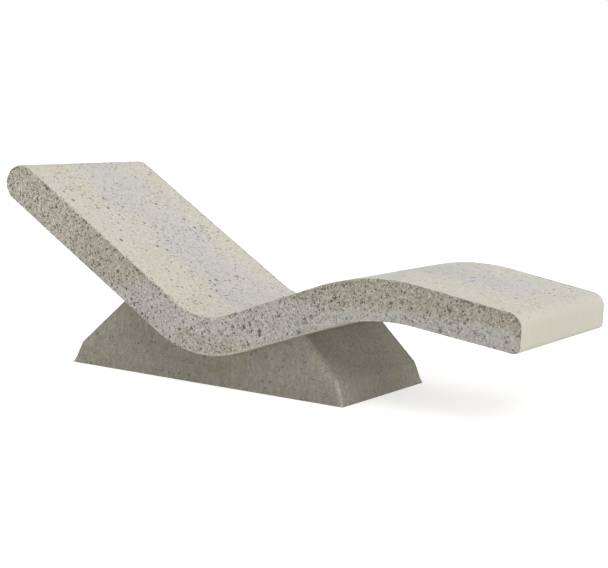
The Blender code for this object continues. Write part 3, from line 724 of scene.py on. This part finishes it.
def exposed_stones():
    """Washed concrete, warm and cool by turns.

    Its sand holds grit, stones and pebbles, and the largest stones lie where the photo has them.
    """
    shade = Shade("exposed_aggregate")
    cool, pale, belt = side_zones(shade)
    tint = shade.mix(cool, srgb(171, 165, 152), srgb(180, 177, 172))
    tint = shade.mix(pale, tint, srgb(184, 178, 165))
    down, along = shade.attribute("down"), shade.attribute("along")
    # Lightness along the side, partly painted light and shade
    levels = [(place / SIDE_SPAN, (level,) * 3) for place, level in SIDE_LEVELS]
    tint = shade.mix(1.0, tint, shade.ramp(shade.math("DIVIDE", along, SIDE_SPAN), levels), "MULTIPLY")
    # Painted shade: the side is a little darker just under the top's arris
    tint = shade.tinted(tint, shade.fade(down, 0.02, 0.10), 0.96, 1.0)
    stops = ((0.38, (1.024, 0.990, 1.004)), (0.62, (0.984, 1.008, 0.982)))
    hues = shade.ramp(shade.noise(22.0, 3.0, 0.6), stops)
    tint = shade.mix(1.0, tint, hues, "MULTIPLY")
    warp = shade.warped(150.0, 0.005)
    upright = shade.stretched(warp, (1.0, 1.0, 0.70))
    round_ish = shade.stretched(warp, (1.0, 1.0, 0.90))

    sand_border = shade.borders(SAND_SCALE, upright)
    sand = shade.axes(shade.cells(SAND_SCALE, upright)[1])[0]
    colour = shade.mix(1.0, tint, shade.ramp(sand, GREYS_OF_SAND), "MULTIPLY")
    height = shade.times(shade.math("MINIMUM", sand_border, 0.3), 0.5)
    shine = sand
    few = shade.fade(cool, 0.0, 1.0, 0.060, 0.080)
    few = shade.plus(few, shade.fade(along, 0.10, 0.40, 0.070, 0.0))
    rare = shade.fade(cool, 0.0, 1.0, 0.005, 0.014)
    for scale, vector, wanted, greys, gap in (
        (250.0, upright, 0.72, GREYS_OF_GRIT, 0.11),
        (118.0, round_ish, few, GREYS_OF_STONES, 0.07),
        (102.0, round_ish, rare, GREYS_OF_PEBBLES, 0.07),
    ):
        border = shade.borders(scale, vector)
        red, green, blue = shade.axes(shade.cells(scale, vector)[1])
        held = shade.math("LESS_THAN", green, wanted)
        inside = shade.times(shade.fade(border, gap * 0.4, gap), held)
        rim = shade.times(shade.fade(border, 0.0, gap * 0.8, 1.0, 0.0), held)
        stone = shade.mix(1.0, tint, shade.ramp(red, greys), "MULTIPLY")
        rust = shade.times(shade.math("GREATER_THAN", blue, 0.965), 0.4)
        stone = shade.mix(rust, stone, srgb(160, 130, 110))
        colour = shade.mix(shade.times(rim, 0.38), colour, srgb(96, 91, 83))
        colour = shade.mix(inside, colour, stone)
        dome = shade.times(inside, shade.math("MINIMUM", border, 0.35))
        height = shade.plus(height, shade.times(dome, 2.0))
        shine = shade.mix(inside, shine, blue)
    for x, z, radius, tone in LARGEST_STONES:
        distance = shade.vector("DISTANCE", {0: warp, 1: (x, -SLAB_WIDTH / 2, z)}, "Value")
        inside = shade.fade(distance, radius * 0.75, radius * 1.05, 1.0, 0.0)
        colour = shade.mix(inside, colour, srgb(*tone))
        height = shade.plus(height, shade.times(inside, 0.5))
    pit, _ = specks(shade, 135.0, 0.24, 0.40, warp)
    depth = shade.fade(cool, 0.0, 1.0, 0.92, 0.68)
    colour = shade.mix(shade.times(pit, depth), colour, srgb(82, 77, 69))
    height = shade.minus(height, shade.times(pit, 0.4))
    warm = shade.fade(cool, 0.0, 1.0, 1.0, 0.0)
    crisp = shade.fade(shade.noise(170.0, 3.0, 0.7, upright), 0.38, 0.62)
    colour = shade.mix(warm, colour, shade.tinted(colour, crisp, 0.80, 1.15))
    colour = shade.mix(shade.times(belt, 0.15), colour, tint)
    # Dark specks along the top of the side: painted shade of small chips and pits under the arris
    painted_shade_pit, _ = specks(shade, 105.0, shade.fade(down, 0.0, 0.13, 0.50, 0.0), 0.50, warp)
    colour = shade.mix(shade.times(painted_shade_pit, 0.75), colour, srgb(86, 81, 72))

    ragged = shade.times(shade.minus(shade.noise(110.0, 4.0, 0.75), 0.5), 0.24)
    skin = shade.fade(shade.plus(down, ragged), 0.965, 0.995)
    skin = shade.times(skin, shade.fade(along, 0.86, 1.02))
    skin = shade.times(skin, shade.fade(along, 1.05, 1.50, 0.8, 0.25))
    colour = shade.mix(skin, colour, srgb(196, 190, 176))
    roughness = shade.fade(shine, 0.0, 1.0, 0.62, 0.92)
    return shade.finish(colour, roughness, height, 0.75, 0.0016)


def distance_from_ends(shade):
    """How far a place of the base lies behind its toes and slopes, whichever is nearest."""
    x, _, z = shade.axes()
    toe_angle = math.atan2(TOE_HEIGHT, TOE_INSET)
    nearest = None
    for end, direction in ((BASE_HEAD_END, 1), (BASE_FOOT_END, -1)):
        inward = shade.times(shade.minus(x, end), direction)
        faces = []
        for start, height, angle in ((0.0, 0.0, toe_angle), (TOE_INSET, TOE_HEIGHT, BASE_SLOPE)):
            behind = shade.times(shade.minus(inward, start), math.sin(angle))
            above = shade.times(shade.minus(z, height), math.cos(angle))
            faces.append(shade.minus(behind, above))
        here = shade.math("MINIMUM", *faces)
        nearest = here if nearest is None else shade.math("MINIMUM", nearest, here)
    return nearest


def dark_concrete():
    """The base's darker mix: brown-grey with lilac blotches, faint specks, worn edges, and painted light
    and shade.
    """
    shade = Shade("dark_base_concrete")
    x, y, z = shade.axes()
    hue = shade.fade(shade.noise(8.0, 4.0, 0.6), 0.36, 0.64)
    colour = shade.mix(hue, srgb(142, 138, 123), srgb(146, 141, 130))
    for scale, push, low, tone in (
        (5.0, 3.0, 0.46, (144, 138, 133)),
        (9.0, 5.0, 0.55, (151, 140, 129)),
        (13.0, 7.0, 0.56, (140, 137, 131)),
    ):
        blotch = shade.fade(shade.noise(scale, 5.0, 0.65, shade.warped(push, 0.3)), low, low + 0.16)
        colour = shade.mix(shade.times(blotch, 0.85), colour, srgb(*tone))
    drawn = shade.stretched(shade.place, (1.0, 1.0, 0.5))
    streak = shade.noise(95.0, 5.0, 0.75, drawn)
    colour = shade.tinted(colour, shade.fade(streak, 0.34, 0.66), 0.84, 1.14)
    grain = shade.noise(240.0, 3.0, 0.8)
    colour = shade.tinted(colour, shade.fade(grain, 0.32, 0.68), 0.80, 1.18)
    dusted = shade.fade(x, DUST_START, BASE_HEAD_END + 0.22, 1.0, 0.2)
    dust = shade.fade(shade.noise(92.0, 3.0, 0.7), 0.50, 0.58)
    colour = shade.tinted(colour, shade.times(dust, dusted), 1.0, 1.22)
    grit = shade.fade(shade.noise(105.0, 3.0, 0.7, shade.warped(60.0, 0.02)), 0.52, 0.60)
    grit = shade.times(grit, shade.fade(dusted, 0.2, 1.0))
    colour = shade.tinted(colour, grit, 1.0, 0.80)
    warp = shade.warped(120.0, 0.005)
    height = shade.times(grain, 0.4)
    from_end = distance_from_ends(shade)
    flank = shade.fade(from_end, 0.0, 0.02)
    plainer = shade.fade(flank, 0.0, 1.0, 0.65, 1.0)
    for most, layer in (
        (0.52, (140.0, 0.24, 0.44, ((86, 82, 72), (98, 94, 88), (160, 154, 141)))),
        (0.62, (72.0, 0.18, 0.34, ((80, 76, 66), (88, 84, 80), (96, 74, 62)))),
    ):
        strength = shade.times(plainer, most)
        colour, height = speckled(shade, colour, height, layer, strength, warp)

    half = shade.minus(SLAB_WIDTH / 2 - BASE_SETBACK, shade.times(z, math.tan(BASE_DRAFT)))
    from_side = shade.minus(half, shade.away(y))
    on_slope = shade.fade(from_end, 0.0, 0.012, 1.0, 0.0)
    on_slope = shade.times(on_slope, shade.fade(from_side, 0.004, 0.030))
    # Painted light on the foot slopes, strongest high up under the slab's overhang and towards the far
    # side
    painted_slope_light = shade.times(on_slope, shade.fade(z, 0.03, 0.24, 0.16, 1.0))
    painted_slope_light = shade.times(painted_slope_light, shade.fade(y, -0.28, -0.02, 0.05, 1.0))
    colour = shade.tinted(colour, painted_slope_light, 1.0, 1.36)
    # Painted shade on the near part of the foot slopes
    painted_near_shade = shade.times(on_slope, shade.fade(y, -0.28, -0.08, 1.0, 0.0))
    colour = shade.tinted(colour, shade.times(painted_near_shade, shade.fade(z, 0.04, 0.14)), 1.0, 0.86)
    # Painted light on the far part of the foot slopes, strongest low down
    painted_far_light = shade.times(on_slope, shade.fade(y, 0.02, 0.26))
    colour = shade.tinted(colour, shade.times(painted_far_light, shade.fade(z, 0.0, 0.24, 1.0, 0.20)), 1.0, 1.22)
    # Painted shade: the base is darker towards its foot end
    colour = shade.tinted(colour, shade.fade(x, -0.05, 0.36), 1.0, 0.92)
    # Painted light on the upper part of the base's sides, up under the slab, where the slab shades them
    painted_light_under_slab = shade.fade(shade.attribute("down"), 0.0, 0.50, 1.0, 0.0)
    painted_light_under_slab = shade.times(painted_light_under_slab, shade.fade(z, 0.03, 0.09))
    colour = shade.tinted(colour, shade.times(painted_light_under_slab, flank), 1.0, 1.20)
    lowest = shade.times(shade.fade(z, 0.0, 0.10, 1.0, 0.0), flank)
    lowest = shade.times(lowest, shade.fade(x, DUST_START, BASE_HEAD_END + 0.20))
    colour = shade.tinted(colour, lowest, 1.0, 0.91)
    edge = shade.math("MAXIMUM", from_side, from_end)
    ragged = shade.fade(shade.noise(110.0, 5.0, 0.8), 0.36, 0.64, -0.010, 0.014)
    worn = shade.fade(shade.minus(ragged, edge), -0.010, 0.008)
    low = shade.plus(shade.fade(z, 0.01, 0.04, 0.45, 0.0), shade.fade(z, 0.05, 0.12, 0.5, 0.0))
    colour = shade.mix(shade.times(worn, low), colour, srgb(190, 184, 170))
    roughness = shade.fade(shade.noise(24.0, 3.0), 0.3, 0.7, 0.8, 0.95)
    return shade.finish(colour, roughness, height, 0.4, 0.0006)


def mortar():
    """Grey sandy mortar with paler clouds."""
    shade = Shade("grey_bedding_mortar")
    sand = shade.noise(520.0, 3.0, 0.7)
    stops = ((0.25, (132, 128, 116)), (0.5, (162, 157, 144)), (0.8, (186, 181, 166)))
    colour = shade.ramp(sand, [(position, srgb(*tone)) for position, tone in stops])
    colour = shade.mix(shade.fade(shade.noise(14.0, 3.0), 0.4, 0.7), colour, srgb(168, 164, 152))
    return shade.finish(colour, 0.93, sand, 0.5, 0.0008)


def reinforcing_steel():
    """Mill scale with rust, and the slanting ribs that grip the concrete."""
    shade = Shade("rusted_reinforcing_steel")
    rust = shade.fade(shade.noise(70.0, 5.0, 0.7), 0.42, 0.66)
    colour = shade.mix(rust, srgb(74, 68, 66), srgb(132, 78, 48))
    colour = shade.mix(shade.fade(shade.noise(300.0, 2.0), 0.5, 0.75), colour, srgb(160, 98, 58))
    x, y, z = shade.axes()
    along = shade.plus(x, shade.times(shade.plus(y, z), 0.6))
    rib = shade.fade(shade.math("SINE", shade.times(along, 2 * math.pi / RIB_PITCH)), 0.3, 0.9)
    metal = shade.fade(rust, 0.0, 1.0, 0.85, 0.15)
    shade.feed(shade.shader.inputs["Metallic"], metal)
    height = shade.plus(rib, shade.times(rust, 0.3))
    return shade.finish(colour, shade.fade(rust, 0.0, 1.0, 0.45, 0.9), height, 0.6, 0.0006)


def zinc():
    """Bright zinc plating with a yellowish haze and fine spangle."""
    shade = Shade("zinc_plating")
    shade.shader.inputs["Metallic"].default_value = 1.0
    spangle = shade.cells(380.0)[1]
    tone = shade.axes(spangle)[0]
    colour = shade.mix(tone, srgb(178, 180, 184), srgb(202, 204, 206))
    haze = shade.fade(shade.noise(60.0, 3.0), 0.5, 0.7, 0.0, 0.6)
    colour = shade.mix(haze, colour, srgb(196, 190, 168))
    return shade.finish(colour, shade.fade(tone, 0.0, 1.0, 0.28, 0.46), shade.noise(400.0), 0.2, 0.0003)


def chair_plastic():
    """Dull grey plastic with a moulded grain."""
    shade = Shade("grey_chair_plastic_grain")
    grain = shade.noise(600.0, 3.0, 0.6)
    colour = shade.mix(shade.fade(shade.noise(40.0, 2.0), 0.4, 0.65), srgb(86, 86, 88), srgb(98, 98, 99))
    colour = shade.mix(shade.fade(grain, 0.55, 0.75, 0.0, 0.5), colour, srgb(112, 111, 110))
    return shade.finish(colour, 0.62, grain, 0.25, 0.0003)


def slab_arris_sizes(rng):
    """Chipped edges above, crisp ones round the foot face and below; the far side has a limit."""
    def sizes(loop):
        broken = wobble(len(loop), 3, rng) ** 2 * wobble(len(loop), 9, rng)
        open_above = np.clip(-inward_normals(loop)[:, 1], CRISP_SHARE, 1.0)
        return SLAB_ARRIS + SLAB_CHIP * broken * open_above
    return sizes


def base_arris_sizes(rng):
    """Rounded edges on the toes and slopes; sharp ones under the slab and at the floor."""
    def sizes(loop):
        inward = np.minimum(loop[:, 0] - BASE_HEAD_END, BASE_FOOT_END - loop[:, 0])
        sloped = loop[:, 1] >= TOE_HEIGHT + (inward - TOE_INSET) * math.tan(BASE_SLOPE) - STEP
        rounded = (loop[:, 1] > 0) & (sloped | (inward < 2 * TOE_INSET))
        return np.where(rounded, BASE_ARRIS + BASE_CHIP * wobble(len(loop), 7, rng), SHARP_ARRIS)
    return sizes


def stage_floor():
    """Plain pale floor that keeps a light shadow and is white to the camera round it."""
    mesh = bpy.data.meshes.new("studio_floor")
    corners = [(x * FLOOR_REACH, y * FLOOR_REACH, 0.0) for x, y in ((-1, -1), (1, -1), (1, 1), (-1, 1))]
    mesh.from_pydata(corners, [], [(0, 1, 2, 3)])
    floor = bpy.data.objects.new("studio_floor", mesh)
    bpy.context.scene.collection.objects.link(floor)
    shade = Shade("pale_floor")
    shade.shader.inputs["Base Color"].default_value = (FLOOR_COLOUR, FLOOR_COLOUR, FLOOR_COLOUR, 1.0)
    shade.shader.inputs["Roughness"].default_value = 1.0
    shade.shader.inputs["Specular IOR Level"].default_value = 0.0
    shade.shader.inputs["Emission Color"].default_value = (1.0, 1.0, 1.0, 1.0)
    path = shade.make("ShaderNodeLightPath").outputs
    seen = shade.math("MAXIMUM", path["Is Camera Ray"], path["Is Glossy Ray"])
    seen = shade.math("MAXIMUM", seen, path["Is Transmission Ray"])
    shade.feed(shade.shader.inputs["Emission Strength"], shade.times(seen, FLOOR_LIFT))
    mesh.materials.append(shade.material)


def studio_light():
    """Even white surroundings, a broad soft key lamp and a low fill from the foot end."""
    scene = bpy.context.scene
    world = bpy.data.worlds.new("studio")
    scene.world = world
    world.use_nodes = True
    tree = world.node_tree
    background = tree.nodes["Background"]
    path = tree.nodes.new("ShaderNodeLightPath")
    seen = path.outputs["Is Camera Ray"]
    for ray in ("Is Glossy Ray", "Is Transmission Ray"):
        either = tree.nodes.new("ShaderNodeMath")
        either.operation = "MAXIMUM"
        tree.links.new(seen, either.inputs[0])
        tree.links.new(path.outputs[ray], either.inputs[1])
        seen = either.outputs[0]
    level = tree.nodes.new("ShaderNodeMix")
    level.data_type = "FLOAT"
    level.inputs[2].default_value = SKY_LEVEL
    level.inputs[3].default_value = 1.0
    tree.links.new(seen, level.inputs[0])
    tree.links.new(level.outputs[0], background.inputs["Strength"])
    background.inputs["Color"].default_value = (1.0, 1.0, 1.0, 1.0)
    for name, place, size, power, colour in LAMPS:
        lamp = bpy.data.lights.new(name, "AREA")
        lamp.shape = "DISK"
        lamp.size = size
        lamp.energy = power
        lamp.color = colour
        light = bpy.data.objects.new(name, lamp)
        scene.collection.objects.link(light)
        light.location = place
        light.rotation_mode = "QUATERNION"
        light.rotation_quaternion = (LIT_PLACE - light.location).to_track_quat("-Z", "Y")
    scene.view_settings.view_transform = "Standard"


def studio_camera():
    """Camera of the photograph's view."""
    flat = math.cos(VIEW_PITCH)
    forward = Vector((-math.sin(VIEW_YAW) * flat, math.cos(VIEW_YAW) * flat, -math.sin(VIEW_PITCH)))
    right = Vector((math.cos(VIEW_YAW), math.sin(VIEW_YAW), 0.0))
    up = right.cross(forward)
    tilted_right = right * math.cos(VIEW_ROLL) + up * math.sin(VIEW_ROLL)
    tilted_up = up * math.cos(VIEW_ROLL) - right * math.sin(VIEW_ROLL)
    data = bpy.data.cameras.new("camera")
    data.sensor_width = SENSOR
    data.lens = LENS
    camera = bpy.data.objects.new("camera", data)
    bpy.context.scene.collection.objects.link(camera)
    turn = Matrix((tilted_right, tilted_up, -forward)).transposed().to_4x4()
    camera.matrix_world = Matrix.Translation(VIEW_PLACE) @ turn
    bpy.context.scene.camera = camera


def keep_inside(piece):
    """Hold a piece inside the box of the CAD model."""
    low, high = CAD_BOX
    for vertex in piece.data.vertices:
        for axis in range(3):
            vertex.co[axis] = min(max(vertex.co[axis], low[axis]), high[axis])


studio_camera()
studio_light()
stage_floor()

RNG = np.random.default_rng(SEED)
CAST = cast_concrete()
STONES = exposed_stones()
DARK = dark_concrete()

slab = Casting(
    *slab_sides(), lambda height: SLAB_WIDTH / 2, slab_arris_sizes(RNG), SLAB_BEYOND, RELIEF, RNG
)
base = Casting(*base_sides(), base_half_width, base_arris_sizes(RNG), BASE_LENGTH, 0.0, RNG)
for piece, node, slot in (
    (slab.build("lounger_slab_cast", (CAST, STONES)), "lounger_slab", "light_exposed_concrete"),
    (base.build("base_block_cast", (DARK, DARK)), "base_block", "dark_concrete"),
):
    keep_inside(piece)
    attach(piece, "root")
    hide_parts(node)

FINISHES = (
    ("mortar_bed", mortar()),
    ("anchor_bolt", zinc()),
    ("threaded_socket", zinc()),
    ("bar_chair", chair_plastic()),
)
STEEL = reinforcing_steel()
for node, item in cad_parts.items():
    finish = next((material for start, material in FINISHES if node.startswith(start)), STEEL)
    if node not in ("lounger_slab", "base_block"):
        for place in item.material_slots:
            place.material = finish
